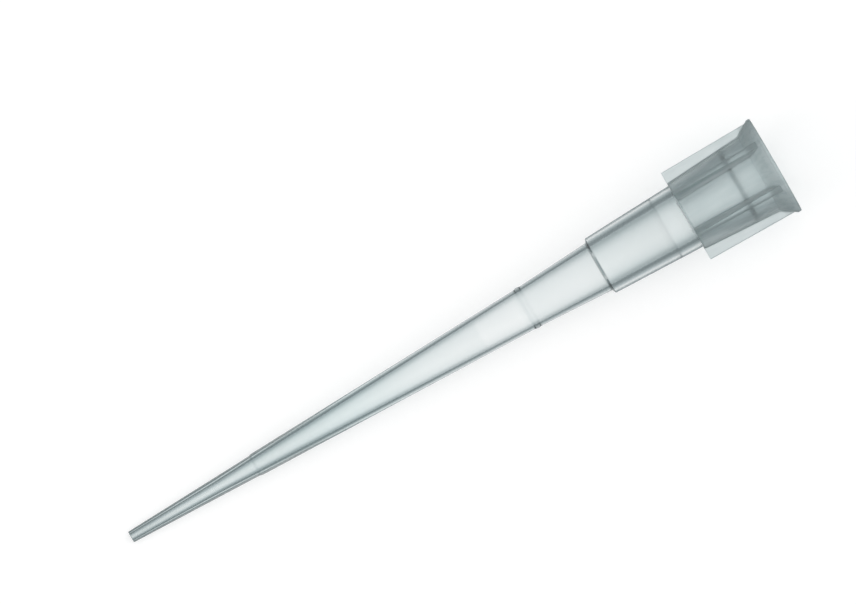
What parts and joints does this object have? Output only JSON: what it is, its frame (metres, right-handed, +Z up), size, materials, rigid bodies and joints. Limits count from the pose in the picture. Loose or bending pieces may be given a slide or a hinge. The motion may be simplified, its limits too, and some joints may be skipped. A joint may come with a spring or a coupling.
{
  "type": "pipette tip",
  "caption": "Slender clear plastic pipette tip with a fine conical point, a raised graduation ring, a stepped barrel, radial fins on its collar and a flared mouth that fits a pipette nozzle.",
  "frame": {"origin": "centre of the footprint on the surface that the tip lies on, halfway between the orifice and the mouth", "axes": "+Z up from the surface, +X from the orifice towards the mouth; the tip's own axis leaves the surface by 3.63 degrees towards +X, because the tip rests on the edges of its rim and its orifice"},
  "size_m": [0.0394, 0.0056, 0.0056],
  "materials": {
    "clear_polypropylene": "clear, polished shaft and barrel with a finely satin collar, fins and rim"
  },
  "bodies": {
    "root": {"pipette_tip": "clear_polypropylene"}
  },
  "joints": []
}
